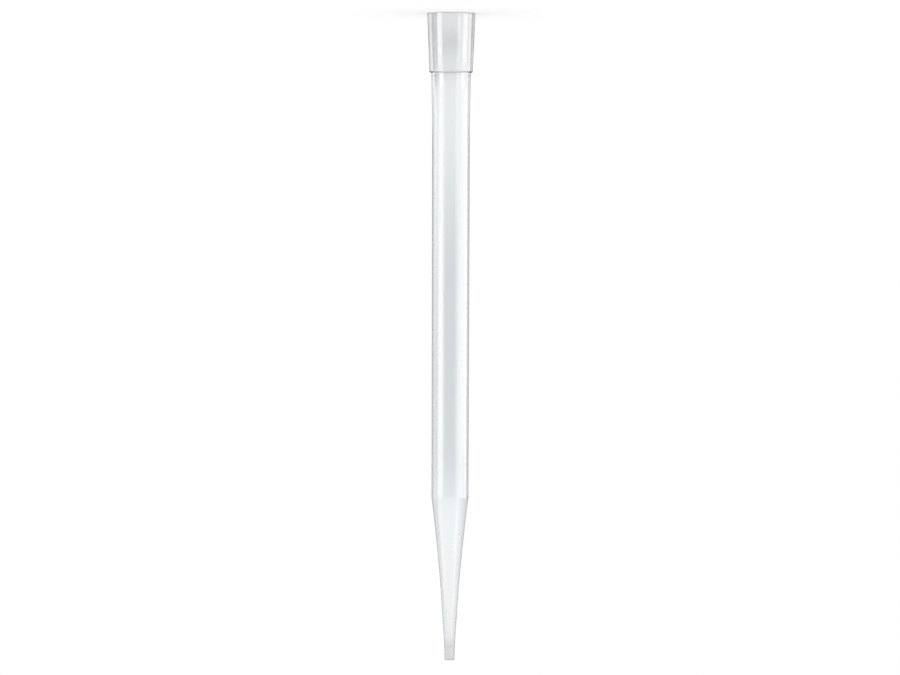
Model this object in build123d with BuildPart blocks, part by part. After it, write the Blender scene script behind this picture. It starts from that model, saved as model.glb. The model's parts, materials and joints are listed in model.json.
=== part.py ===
"""A 5 mL pipette tip, moulded in one piece of natural polypropylene.

The tip stands on its mouth, the one end that it can stand on. The origin is the centre of the
mouth, and +Z runs along the axis to the point. All sizes are in millimetres.
"""

import os

from build123d import *

# Heights above the mouth
overall_length = 160.0
collar_length = 14.6
neck_end = 25.5
shoulder_height = 119.8

# Outer radii: a collar with a draft, a neck that tapers into the barrel, and a drawn-in end that
# finishes in a short nozzle, almost parallel
mouth_outer_radius = 5.94
collar_foot_radius = 5.35
neck_radius = 4.88
barrel_start_radius = 4.68
barrel_end_radius = 4.55
nozzle_radius = 1.29
point_radius = 1.21
nozzle_length = 3.0

# The socket for the pipette's nose cone: a lead-in, a parallel sealing land, and a taper down to
# the seat that stops the nose cone
mouth_inner_radius = 4.62
sealing_land_radius = 4.42
sealing_land_start = 3.5
sealing_land_length = 6.0
socket_foot_radius = 4.17
socket_depth = 15.4

# The bore that holds the liquid, drafted so that the core pin leaves through the mouth
seat_width = 0.05
barrel_wall = 0.57
orifice_radius = 0.62
orifice_length = 2.8

# The drawn-in end is slightly hollow: its side curves inwards by this much from a straight cone
point_hollow = 0.36
bore_hollow = 0.35

# Rounded corners
rim_outer_round = 0.25
rim_inner_round = 0.12
collar_foot_round = 0.22
neck_corner_round = 0.12
shoulder_round = 4.0
bore_shoulder_round = 4.0
point_round = 0.10

sealing_land_end = sealing_land_start + sealing_land_length
seat_height = socket_depth + seat_width
bore_start_radius = socket_foot_radius - seat_width
bore_end_radius = barrel_end_radius - barrel_wall
bore_end_height = shoulder_height - bore_hollow
nozzle_start = overall_length - nozzle_length
orifice_start = overall_length - orifice_length


def ring_edges(part, radius, height):
    """The circular edges of this radius at this height on the axis."""
    circles = part.edges().filter_by(GeomType.CIRCLE)
    return circles.filter_by(
        lambda edge: abs(edge.radius - radius) < 0.01 and abs(edge.arc_center.Z - height) < 0.01
    )


# One solid of revolution: half of the section, turned about the axis.
with BuildPart() as pipette_tip:
    with BuildSketch(Plane.XZ):
        with BuildLine():
            Polyline(
                (mouth_inner_radius, 0),
                (mouth_outer_radius, 0),
                (collar_foot_radius, collar_length),
                (neck_radius, collar_length),
                (barrel_start_radius, neck_end),
                (barrel_end_radius, shoulder_height),
            )
            SagittaArc(
                (barrel_end_radius, shoulder_height),
                (nozzle_radius, nozzle_start),
                point_hollow,
            )
            Polyline(
                (nozzle_radius, nozzle_start),
                (point_radius, overall_length),
                (orifice_radius, overall_length),
                (orifice_radius, orifice_start),
            )
            SagittaArc(
                (orifice_radius, orifice_start),
                (bore_end_radius, bore_end_height),
                -bore_hollow,
            )
            Polyline(
                (bore_end_radius, bore_end_height),
                (bore_start_radius, seat_height),
                (socket_foot_radius, socket_depth),
                (sealing_land_radius, sealing_land_end),
                (sealing_land_radius, sealing_land_start),
                (mouth_inner_radius, 0),
            )
        make_face()
    revolve(axis=Axis.Z)

    # Each corner is named by its radius and height, and its rounding
    fillet(ring_edges(pipette_tip, mouth_outer_radius, 0), rim_outer_round)
    fillet(ring_edges(pipette_tip, mouth_inner_radius, 0), rim_inner_round)
    fillet(ring_edges(pipette_tip, collar_foot_radius, collar_length), collar_foot_round)
    fillet(ring_edges(pipette_tip, neck_radius, collar_length), neck_corner_round)
    fillet(ring_edges(pipette_tip, barrel_end_radius, shoulder_height), shoulder_round)
    fillet(ring_edges(pipette_tip, bore_end_radius, bore_end_height), bore_shoulder_round)
    fillet(ring_edges(pipette_tip, point_radius, overall_length), point_round)

pipette_tip.part.label = "pipette_tip"

os.makedirs("parts", exist_ok=True)
export_step(pipette_tip.part, "parts/pipette_tip.step")
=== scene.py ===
"""The looks of a 5 mL pipette tip: one clear, faintly hazy piece of natural polypropylene.

The tip stands on its mouth at the origin, with +Z along its axis to the point. It is shown the way
it hangs on a pipette, point down, so the camera is the one that is turned over.
"""

import json
import math

import bmesh
import bpy
from mathutils import Matrix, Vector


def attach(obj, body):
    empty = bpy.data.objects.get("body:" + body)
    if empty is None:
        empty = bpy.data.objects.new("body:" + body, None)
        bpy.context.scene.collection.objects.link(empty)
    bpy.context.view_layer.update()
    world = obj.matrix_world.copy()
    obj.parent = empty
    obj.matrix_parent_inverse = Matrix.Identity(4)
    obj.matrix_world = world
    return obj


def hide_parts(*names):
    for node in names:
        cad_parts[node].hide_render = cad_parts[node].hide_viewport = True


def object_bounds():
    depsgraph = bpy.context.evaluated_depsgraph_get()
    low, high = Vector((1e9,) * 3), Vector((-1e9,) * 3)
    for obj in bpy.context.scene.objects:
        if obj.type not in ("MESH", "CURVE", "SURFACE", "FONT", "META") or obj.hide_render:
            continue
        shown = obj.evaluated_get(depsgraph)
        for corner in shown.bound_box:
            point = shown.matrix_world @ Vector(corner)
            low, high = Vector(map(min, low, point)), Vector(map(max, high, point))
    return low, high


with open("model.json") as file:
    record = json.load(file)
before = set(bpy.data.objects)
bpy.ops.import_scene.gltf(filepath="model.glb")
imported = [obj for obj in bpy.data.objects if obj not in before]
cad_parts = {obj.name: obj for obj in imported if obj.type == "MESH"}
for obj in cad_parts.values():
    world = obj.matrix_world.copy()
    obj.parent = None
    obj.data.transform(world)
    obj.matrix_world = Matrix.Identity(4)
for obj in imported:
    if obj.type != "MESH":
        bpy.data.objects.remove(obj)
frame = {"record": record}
cad_low, cad_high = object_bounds()

MM = 0.001

# ---------------------------------------------------------------- the tip's sizes, in millimetres

# Heights above the mouth
LENGTH = cad_high.z / MM
COLLAR_LENGTH = 14.6
NECK_END = 25.5
SHOULDER = 119.8
NOZZLE_LENGTH = 3.0
SOCKET_DEPTH = 15.4

# Radii
MOUTH_RADIUS = 5.94
COLLAR_FOOT_RADIUS = 5.35
NECK_RADIUS = 4.88
BARREL_START_RADIUS = 4.68
BARREL_END_RADIUS = 4.55
NOZZLE_RADIUS = 1.29
POINT_RADIUS = 1.21
SOCKET_MOUTH_RADIUS = 4.62
SOCKET_FOOT_RADIUS = 4.17
SEAT_WIDTH = 0.05
BARREL_WALL = 0.57

# The drawn-in end is slightly hollow: how far its outside and its bore dip halfway along
OUTSIDE_HOLLOW = 0.36
BORE_HOLLOW = 0.35

# The socket's sealing land and the orifice are mounts of the part
mounts = {mount["name"]: mount for mount in frame["record"]["mounts"]}
land = mounts["nose_socket"]
LAND_RADIUS = land["dims"]["r_mm"]
LAND_START = land["pos_m"][2] / MM - land["dims"]["length_mm"] / 2
LAND_END = LAND_START + land["dims"]["length_mm"]
ORIFICE_RADIUS = mounts["orifice"]["dims"]["r_mm"]
ORIFICE_START = LENGTH - mounts["orifice"]["dims"]["length_mm"]

NOZZLE_START = LENGTH - NOZZLE_LENGTH
BORE_END_RADIUS = BARREL_END_RADIUS - BARREL_WALL
BORE_END = SHOULDER - BORE_HOLLOW

# The wall's section, from the mouth along the outside to the point, and back along the bore. Each
# corner is its radius, its height and how far from it the rounding starts.
SECTION = [
    (MOUTH_RADIUS, 0, 0.25),
    (COLLAR_FOOT_RADIUS, COLLAR_LENGTH, 0.22),
    (NECK_RADIUS, COLLAR_LENGTH, 0.12),
    (BARREL_START_RADIUS, NECK_END, 0.5),
    (BARREL_END_RADIUS, SHOULDER, 0.25),
    (NOZZLE_RADIUS, NOZZLE_START, 0),
    (POINT_RADIUS, LENGTH, 0.1),
    (ORIFICE_RADIUS, LENGTH, 0),
    (ORIFICE_RADIUS, ORIFICE_START, 0.2),
    (BORE_END_RADIUS, BORE_END, 0.25),
    (SOCKET_FOOT_RADIUS - SEAT_WIDTH, SOCKET_DEPTH + SEAT_WIDTH, 0.02),
    (SOCKET_FOOT_RADIUS, SOCKET_DEPTH, 0.02),
    (LAND_RADIUS, LAND_END, 0.2),
    (LAND_RADIUS, LAND_START, 0.2),
    (SOCKET_MOUTH_RADIUS, 0, 0.12),
]

# The two sides of the drawn-in end: where each starts and ends, and how far it dips. A point this
# close to the straight line between the two belongs to that side.
DRAWN_IN = [
    ((BARREL_END_RADIUS, SHOULDER), (NOZZLE_RADIUS, NOZZLE_START), OUTSIDE_HOLLOW),
    ((BORE_END_RADIUS, BORE_END), (ORIFICE_RADIUS, ORIFICE_START), BORE_HOLLOW),
]
ON_THE_CONE = 0.05

# How finely the section is divided and turned. A straight wall is held by a row of points close to
# each end, so that it shades straight.
ROUND_STEPS = 6
HOLD = 0.06 * MM
ROW_SPACING = 3.0 * MM
TURN_STEPS = 256
WELD = 0.001 * MM

# ---------------------------------------------------------------- the plastic

REFRACTIVE_INDEX = 1.49
CLEAR = (0.97, 0.985, 0.995, 1)
DENSE = (0.58, 0.59, 0.6, 1)
ABSORPTION_COLOUR = (0.5, 0.5, 0.5, 1)
ABSORPTION_DENSITY = 225.0

# How dense each stretch of the wall is coloured, and the heights at which that starts and is full.
# The rim's band is painted shade, a dark line round the mouth. The barrel's is partly the plastic's
# haze and partly painted shade, darker along the barrel than at the drawn-in end. The cut end and
# the nozzle are simply denser.
HAZE_AND_PAINTED_SHADE = {
    "rim_painted_shade": (1.0, 0.3, 0.1),
    "cut_end": (0.25, LENGTH - 0.5, LENGTH - 0.1),
    "tube_haze_and_painted_shade": (0.177, SHOULDER + 8, SHOULDER - 12),
    "nozzle": (0.31, LENGTH - 6.5, LENGTH - 2),
}
STREAK_HAZE = 0.04

# Flow streaks run along the tip, and a soft ripple goes all over it: how many to a metre, along
# each axis
STREAK_SCALE = (900, 900, 22)
RIPPLE_SCALE = (300, 300, 160)
STREAK_DETAIL = 2.0
RIPPLE_DETAIL = 1.0
RELIEF_DEPTH = 0.002 * MM
RIPPLE_DEPTH = 2.0

POLISHED = 0.01
BORE_ROUGHNESS = 0.02
END_FACE_ROUGHNESS = 0.9
RIPPLE_ROUGHNESS = 0.03

# A face is matt where it looks this straight up or down: where that starts and is full
END_FACE_SLOPE = (0.8, 0.97)
# A face is the bore's where it looks toward the axis and is at least this far from it
BORE_SIDE = 0.3 * MM

# ---------------------------------------------------------------- the studio

# The camera: a long lens, level with the middle of the tip
CAMERA_DISTANCE = 1311.4 * MM
EYE_LEVEL = (cad_low.z + cad_high.z) / 2 + 0.18 * MM
SIDE_STEP = 0.1 * MM
LEAN = math.radians(0.16)
LENS = 212.0
SENSOR_WIDTH = 36.0

PLAIN_LIGHT = 0.8

# The floor glows by what its own colour falls short of white in that light
FLOOR_RADIUS = 6.0
FLOOR_COLOUR = 0.92
FLOOR_ROUGHNESS = 0.9
FLOOR_WHITE = 1.02

# A painted shadow: the floor inside the mouth is darker, but only as seen through the wall: how
# much, and where that starts and is full, outward from the axis and toward the front
MOUTH_SHADE = 0.85
MOUTH_SHADE_EDGE = (MOUTH_RADIUS + 0.16, MOUTH_RADIUS + 0.01)
MOUTH_SHADE_FRONT = (3.5, -1.0)

# The light tent stands round the tip, with a gap of so many degrees to each side of its back
STAGE_STEPS = 96
TENT_RADIUS = 150 * MM
TENT_FOOT = -280 * MM
TENT_HEIGHT = 215 * MM
TENT_GAP = 8

# The heights that several windows share, in millimetres from the floor
BELOW = (-310, -300)
BELOW_TOP = (-34, -22)
LOW = (-20, -10)
COLLAR_TOP = (12, 18)
RIM_TOP = (17, 28)

# The windows of the tent: where each opens and closes, in degrees round from the front, where it
# opens and closes upward, in millimetres from the floor, and how bright it is. The lowest storey is
# there for whoever looks down on the tip.
WINDOWS = {
    "left_softbox": ((29, 58), (68, 96), COLLAR_TOP, (100, 152), 7.2),
    "left_fill": ((76, 90), (112, 128), COLLAR_TOP, (15, 95), 2.4),
    "left_streak": ((86, 100), (112, 124), COLLAR_TOP, (122, 150), 1.8),
    "right_softbox": ((-126, -108), (-66, -16), COLLAR_TOP, (100, 152), 6.4),
    "front_low": ((-60, -30), (30, 60), (10, 17), (16, 66), 3.9),
    "front_high": ((-64, -40), (40, 64), (95, 158), (175, 184), 2.7),
    "left_high": ((40, 64), (74, 98), (95, 158), (166, 179), 3.5),
    "left_streak_high": ((82, 94), (112, 126), (122, 150), (184, 192), 0.4),
    "right_high": ((-96, -62), (-62, -40), (95, 158), (166, 180), 3.2),
    "right_edge_high": ((-112, -102), (-84, -76), (110, 150), (168, 173), 0.9),
    "right_streak_high": ((-66, -52), (-48, -34), (115, 155), (172, 180), 1.6),
    "front_of_mouth": ((-60, -30), (30, 60), LOW, (4, 12), 3.8),
    "front_of_collar": ((-60, -30), (30, 60), LOW, (10, 17), 1.4),
    "left_of_collar": ((38, 54), (66, 80), LOW, COLLAR_TOP, 9.3),
    "left_strip_of_collar": ((108, 114), (124, 134), LOW, COLLAR_TOP, 3.0),
    "left_line_of_collar": ((81, 85), (89, 93), LOW, COLLAR_TOP, 3.0),
    "right_of_collar": ((-120, -112), (-42, -24), LOW, COLLAR_TOP, 4.8),
    "right_strip_of_collar": ((-92, -78), (-66, -50), LOW, COLLAR_TOP, 5.0),
    "left_rim": ((126, 134), (148, 160), LOW, RIM_TOP, 1.2),
    "right_rim": ((-160, -148), (-136, -128), LOW, RIM_TOP, 1.1),
    "left_softbox_below": ((29, 58), (68, 96), BELOW, BELOW_TOP, 5.5),
    "left_fill_below": ((76, 90), (112, 128), BELOW, BELOW_TOP, 3.5),
    "right_softbox_below": ((-126, -108), (-66, -16), BELOW, BELOW_TOP, 5.0),
    "front_below": ((-60, -30), (30, 60), BELOW, BELOW_TOP, 2.2),
    "all_round_below": ((-200, -190), (190, 200), BELOW, BELOW_TOP, 0.7),
}

# How often light may bounce inside the clear wall
ALL_BOUNCES = 32
GLOSSY_BOUNCES = 16
TRANSMISSION_BOUNCES = 24


# ---------------------------------------------------------------- shared helpers

def link(data, name):
    """An object for the data, in the scene, at the origin."""
    item = bpy.data.objects.new(name, data)
    bpy.context.scene.collection.objects.link(item)
    return item


def finished_mesh(bm, name):
    """The mesh that the bmesh has come to; the bmesh is freed."""
    mesh = bpy.data.meshes.new(name)
    bm.to_mesh(mesh)
    bm.free()
    return mesh


def new_material(name):
    """A material with nodes, and its node tree."""
    material = bpy.data.materials.new(name)
    material.use_nodes = True
    return material, material.node_tree


def math_node(tree, operation, first, second=None):
    """The result of a Math node; its inputs are sockets or numbers."""
    node = tree.nodes.new("ShaderNodeMath")
    node.operation = operation
    for socket, value in zip(node.inputs, (first, second)):
        if isinstance(value, bpy.types.NodeSocket):
            tree.links.new(value, socket)
        elif value is not None:
            socket.default_value = value
    return node.outputs["Value"]


def soft_step(tree, value, start, end):
    """0 before start and 1 after end, with a smooth change between them."""
    step = tree.nodes.new("ShaderNodeMapRange")
    step.interpolation_type = "SMOOTHSTEP"
    step.inputs["From Min"].default_value = start
    step.inputs["From Max"].default_value = end
    tree.links.new(value, step.inputs["Value"])
    return step.outputs["Result"]


def axes_of(tree, vector):
    """The vector's X, Y and Z."""
    axes = tree.nodes.new("ShaderNodeSeparateXYZ")
    tree.links.new(vector, axes.inputs["Vector"])
    return axes.outputs


def in_millimetres(tree, value):
    """A length in metres as millimetres."""
    return math_node(tree, "MULTIPLY", value, 1 / MM)


# ---------------------------------------------------------------- the studio

def make_camera():
    """Looks along +Y at the middle of the tip, turned over so that the point is at the bottom."""
    data = bpy.data.cameras.new("camera")
    data.lens = LENS
    data.sensor_width = SENSOR_WIDTH
    data.clip_start = 10 * MM
    data.clip_end = 100.0
    camera = link(data, "camera")
    camera.location = (SIDE_STEP, -CAMERA_DISTANCE, EYE_LEVEL)
    level = Matrix.Rotation(math.radians(90), 4, "X")
    turned_over = Matrix.Rotation(math.radians(180) + LEAN, 4, "Z")
    camera.rotation_euler = (level @ turned_over).to_euler()
    bpy.context.scene.camera = camera


def make_world():
    """White to the eye, in a reflection and through clear plastic, and a plain light otherwise."""
    world = bpy.data.worlds.new("studio")
    world.use_nodes = True
    tree = world.node_tree
    path = tree.nodes.new("ShaderNodeLightPath").outputs
    indirect = math_node(tree, "MAXIMUM", path["Is Glossy Ray"], path["Is Transmission Ray"])
    seen = math_node(tree, "MAXIMUM", indirect, path["Is Camera Ray"])
    strength = tree.nodes.new("ShaderNodeMapRange")
    strength.inputs["To Min"].default_value = PLAIN_LIGHT
    strength.inputs["To Max"].default_value = 1.0
    tree.links.new(seen, strength.inputs["Value"])
    background = tree.nodes["Background"]
    background.inputs["Color"].default_value = (1, 1, 1, 1)
    tree.links.new(strength.outputs["Result"], background.inputs["Strength"])
    bpy.context.scene.world = world


def shade_lit_floor(tree, path):
    """The floor as the camera sees it: lit, so that it holds the tip's shadow, and glowing to white."""
    lit = tree.nodes["Principled BSDF"]
    lit.inputs["Base Color"].default_value = (FLOOR_COLOUR, FLOOR_COLOUR, FLOOR_COLOUR, 1)
    lit.inputs["Roughness"].default_value = FLOOR_ROUGHNESS
    lit.inputs["Specular IOR Level"].default_value = 0.0
    lit.inputs["Emission Color"].default_value = (1, 1, 1, 1)
    short_of_white = FLOOR_WHITE - FLOOR_COLOUR * PLAIN_LIGHT
    glow = math_node(tree, "MULTIPLY", path["Is Camera Ray"], short_of_white)
    tree.links.new(glow, lit.inputs["Emission Strength"])
    return lit.outputs["BSDF"]


def shade_floor_behind_plastic(tree):
    """The floor as it is seen through the plastic: white, and darker inside the mouth, a painted shadow
    strongest toward the front.
    """
    place = tree.nodes.new("ShaderNodeTexCoord").outputs["Object"]
    from_axis = tree.nodes.new("ShaderNodeVectorMath")
    from_axis.operation = "LENGTH"
    tree.links.new(place, from_axis.inputs[0])
    radius = in_millimetres(tree, from_axis.outputs["Value"])
    depth = in_millimetres(tree, axes_of(tree, place)["Y"])
    in_mouth = soft_step(tree, radius, *MOUTH_SHADE_EDGE)
    in_front = soft_step(tree, depth, *MOUTH_SHADE_FRONT)
    # Painted shadow: the floor's white glow is lowered inside the mouth, most toward the front
    shade = math_node(tree, "MULTIPLY", in_mouth, math_node(tree, "MULTIPLY", in_front, MOUTH_SHADE))
    white = tree.nodes.new("ShaderNodeEmission")
    tree.links.new(math_node(tree, "SUBTRACT", 1.0, shade), white.inputs["Strength"])
    return white.outputs["Emission"]


def make_floor():
    """A wide pale disc under the tip. It is left out of reflections."""
    bm = bmesh.new()
    bmesh.ops.create_circle(bm, cap_ends=True, segments=STAGE_STEPS, radius=FLOOR_RADIUS)
    mesh = finished_mesh(bm, "floor")
    material, tree = new_material("pale_floor")
    path = tree.nodes.new("ShaderNodeLightPath").outputs
    chosen = tree.nodes.new("ShaderNodeMixShader")
    tree.links.new(path["Is Transmission Ray"], chosen.inputs["Fac"])
    tree.links.new(shade_lit_floor(tree, path), chosen.inputs[1])
    tree.links.new(shade_floor_behind_plastic(tree), chosen.inputs[2])
    tree.links.new(chosen.outputs["Shader"], tree.nodes["Material Output"].inputs["Surface"])
    mesh.materials.append(material)
    floor = link(mesh, "floor")
    floor.visible_glossy = False


def draw_tent():
    """An open drum, with its gap at the back."""
    bm = bmesh.new()
    foot = bm.verts.new((0, -TENT_RADIUS, TENT_FOOT))
    head = bm.verts.new((0, -TENT_RADIUS, TENT_HEIGHT))
    bm.edges.new((foot, head))
    to_the_gap = Matrix.Rotation(math.radians(TENT_GAP - 180), 3, "Z")
    bmesh.ops.rotate(bm, verts=bm.verts[:], matrix=to_the_gap)
    bmesh.ops.spin(
        bm, geom=bm.verts[:] + bm.edges[:], axis=(0, 0, 1), angle=math.radians(360 - 2 * TENT_GAP),
        steps=STAGE_STEPS,
    )
    return finished_mesh(bm, "light_tent")


def window_light(tree, azimuth, height):
    """The light of all the windows together."""
    total = 0.0
    for opens, closes, rises, ends, brightness in WINDOWS.values():
        light = math_node(tree, "MULTIPLY", soft_step(tree, azimuth, *opens), brightness)
        light = math_node(tree, "MULTIPLY", light, soft_step(tree, azimuth, *reversed(closes)))
        light = math_node(tree, "MULTIPLY", light, soft_step(tree, height, *rises))
        light = math_node(tree, "MULTIPLY", light, soft_step(tree, height, *reversed(ends)))
        total = math_node(tree, "ADD", light, total)
    return total


def make_tent_cloth():
    """Black, with a soft glow in each window."""
    material, tree = new_material("light_tent")
    tree.nodes.remove(tree.nodes["Principled BSDF"])
    axes = axes_of(tree, tree.nodes.new("ShaderNodeTexCoord").outputs["Object"])
    to_the_front = math_node(tree, "MULTIPLY", axes["Y"], -1.0)
    azimuth = math_node(tree, "DEGREES", math_node(tree, "ARCTAN2", axes["X"], to_the_front))
    height = in_millimetres(tree, axes["Z"])
    emission = tree.nodes.new("ShaderNodeEmission")
    tree.links.new(window_light(tree, azimuth, height), emission.inputs["Strength"])
    tree.links.new(emission.outputs["Emission"], tree.nodes["Material Output"].inputs["Surface"])
    return material


def make_tent():
    """A dark drum round the tip, with soft windows. Only the plastic's gloss shows it."""
    mesh = draw_tent()
    mesh.materials.append(make_tent_cloth())
    tent = link(mesh, "light_tent")
    tent.visible_camera = False
    tent.visible_diffuse = False
    tent.visible_transmission = False
    tent.visible_volume_scatter = False
    tent.visible_shadow = False


# ---------------------------------------------------------------- the tip

def draw_section(bm):
    """The closed outline of the wall, on one side of the axis, with its corners rounded."""
    corners = [bm.verts.new((radius * MM, 0, height * MM)) for radius, height, _ in SECTION]
    for corner, following in zip(corners, corners[1:] + corners[:1]):
        bm.edges.new((corner, following))
    for corner, (_, _, rounding) in zip(corners, SECTION):
        if rounding:
            bmesh.ops.bevel(
                bm, geom=[corner], offset=rounding * MM, segments=ROUND_STEPS, profile=0.5,
                affect="VERTICES", material=-1,
            )


def divide_walls(bm):
    """Rows of points along each straight wall, and one close to each of its ends."""
    walls = [edge for edge in bm.edges if edge.calc_length() > 3 * HOLD]
    for wall in walls:
        for end in wall.verts[:]:
            bmesh.utils.edge_split(wall, end, HOLD / wall.calc_length())
        rows = math.ceil(wall.calc_length() / ROW_SPACING)
        if rows > 1:
            bmesh.ops.subdivide_edges(bm, edges=[wall], cuts=rows - 1)


def hollow_out(bm):
    """Draws the wall of the tapered end in by a parabola between its two ends."""
    for (start_radius, start), (end_radius, end), dip in DRAWN_IN:
        for vert in bm.verts:
            share = (vert.co.z / MM - start) / (end - start)
            cone = start_radius + (end_radius - start_radius) * share
            if 0 < share < 1 and abs(vert.co.x / MM - cone) < ON_THE_CONE:
                vert.co.x -= 4 * dip * share * (1 - share) * MM


def make_tip():
    """The moulding: its section turned once round the axis."""
    bm = bmesh.new()
    draw_section(bm)
    divide_walls(bm)
    hollow_out(bm)
    bmesh.ops.spin(
        bm, geom=bm.verts[:] + bm.edges[:], axis=(0, 0, 1), angle=math.radians(360),
        steps=TURN_STEPS, use_merge=True,
    )
    bmesh.ops.remove_doubles(bm, verts=bm.verts[:], dist=WELD)
    bmesh.ops.recalc_face_normals(bm, faces=bm.faces[:])
    for face in bm.faces:
        face.smooth = True
    return link(finished_mesh(bm, "moulded_tip"), "moulded_tip")


def noise(tree, place, scale, detail):
    """Noise from 0 to 1 on the piece's own coordinates, with its own scale along each axis."""
    mapping = tree.nodes.new("ShaderNodeMapping")
    mapping.inputs["Scale"].default_value = scale
    tree.links.new(place, mapping.inputs["Vector"])
    texture = tree.nodes.new("ShaderNodeTexNoise")
    texture.inputs["Scale"].default_value = 1.0
    texture.inputs["Detail"].default_value = detail
    tree.links.new(mapping.outputs["Vector"], texture.inputs["Vector"])
    return texture.outputs["Fac"]


def hazy_colour_with_painted_shade(tree, place, streaks):
    """From clear to dense, by the streaks and by each stretch of the wall: haze, with painted shade at
    the rim and along the barrel.
    """
    height = in_millimetres(tree, axes_of(tree, place)["Z"])
    dense = math_node(tree, "MULTIPLY", streaks, STREAK_HAZE)
    for amount, start, full in HAZE_AND_PAINTED_SHADE.values():
        stretch = math_node(tree, "MULTIPLY", soft_step(tree, height, start, full), amount)
        dense = math_node(tree, "ADD", dense, stretch)
    blend = tree.nodes.new("ShaderNodeMix")
    blend.data_type = "RGBA"
    blend.inputs["A"].default_value = CLEAR
    blend.inputs["B"].default_value = DENSE
    tree.links.new(dense, blend.inputs["Factor"])
    return blend.outputs["Result"]


def bore_mask(tree, place, normal):
    """1 on the side of the wall that faces the axis."""
    outward = tree.nodes.new("ShaderNodeVectorMath")
    outward.operation = "DOT_PRODUCT"
    tree.links.new(place, outward.inputs[0])
    tree.links.new(normal, outward.inputs[1])
    along = math_node(tree, "MULTIPLY", axes_of(tree, place)["Z"], axes_of(tree, normal)["Z"])
    across = math_node(tree, "SUBTRACT", outward.outputs["Value"], along)
    return soft_step(tree, across, 0.0, -BORE_SIDE)


def end_face_mask(tree, normal):
    """1 on what faces straight up or down: the rim, the ledge and the cut end."""
    upright = math_node(tree, "ABSOLUTE", axes_of(tree, normal)["Z"])
    return soft_step(tree, upright, *END_FACE_SLOPE)


def wall_roughness(tree, bore, end_face, ripple):
    """Polished outside, a little less so in the bore, and matt on the end faces."""
    roughness = math_node(tree, "MULTIPLY", bore, BORE_ROUGHNESS)
    matt = math_node(tree, "MULTIPLY", end_face, END_FACE_ROUGHNESS)
    roughness = math_node(tree, "ADD", roughness, matt)
    uneven = math_node(tree, "MULTIPLY", ripple, RIPPLE_ROUGHNESS)
    roughness = math_node(tree, "ADD", roughness, uneven)
    return math_node(tree, "ADD", roughness, POLISHED)


def relief_normal(tree, streaks, ripple):
    """The streaks and the ripple as a relief that is only just there."""
    bump = tree.nodes.new("ShaderNodeBump")
    bump.inputs["Distance"].default_value = RELIEF_DEPTH
    relief = math_node(tree, "ADD", streaks, math_node(tree, "MULTIPLY", ripple, RIPPLE_DEPTH))
    tree.links.new(relief, bump.inputs["Height"])
    return bump.outputs["Normal"]


def make_polypropylene():
    """Clear plastic with haze, faint streaks along the way it flowed and was drawn, and painted shade
    at the rim and along the barrel.
    """
    material, tree = new_material("natural_polypropylene")
    shader = tree.nodes["Principled BSDF"]
    shader.inputs["IOR"].default_value = REFRACTIVE_INDEX
    shader.inputs["Transmission Weight"].default_value = 1.0

    coordinates = tree.nodes.new("ShaderNodeTexCoord").outputs
    place = coordinates["Object"]
    normal = coordinates["Normal"]
    streaks = noise(tree, place, STREAK_SCALE, STREAK_DETAIL)
    ripple = noise(tree, place, RIPPLE_SCALE, RIPPLE_DETAIL)
    bore = bore_mask(tree, place, normal)
    end_face = end_face_mask(tree, normal)
    tree.links.new(hazy_colour_with_painted_shade(tree, place, streaks), shader.inputs["Base Color"])
    tree.links.new(wall_roughness(tree, bore, end_face, ripple), shader.inputs["Roughness"])
    tree.links.new(relief_normal(tree, streaks, ripple), shader.inputs["Normal"])

    absorption = tree.nodes.new("ShaderNodeVolumeAbsorption")
    absorption.inputs["Color"].default_value = ABSORPTION_COLOUR
    absorption.inputs["Density"].default_value = ABSORPTION_DENSITY
    tree.links.new(absorption.outputs["Volume"], tree.nodes["Material Output"].inputs["Volume"])
    return material


make_camera()
make_world()
make_floor()
make_tent()

tip = make_tip()
tip.data.materials.append(make_polypropylene())
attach(tip, "root")
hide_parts("pipette_tip")

scene = bpy.context.scene
scene.view_settings.view_transform = "Standard"
scene.cycles.max_bounces = ALL_BOUNCES
scene.cycles.glossy_bounces = GLOSSY_BOUNCES
scene.cycles.transmission_bounces = TRANSMISSION_BOUNCES
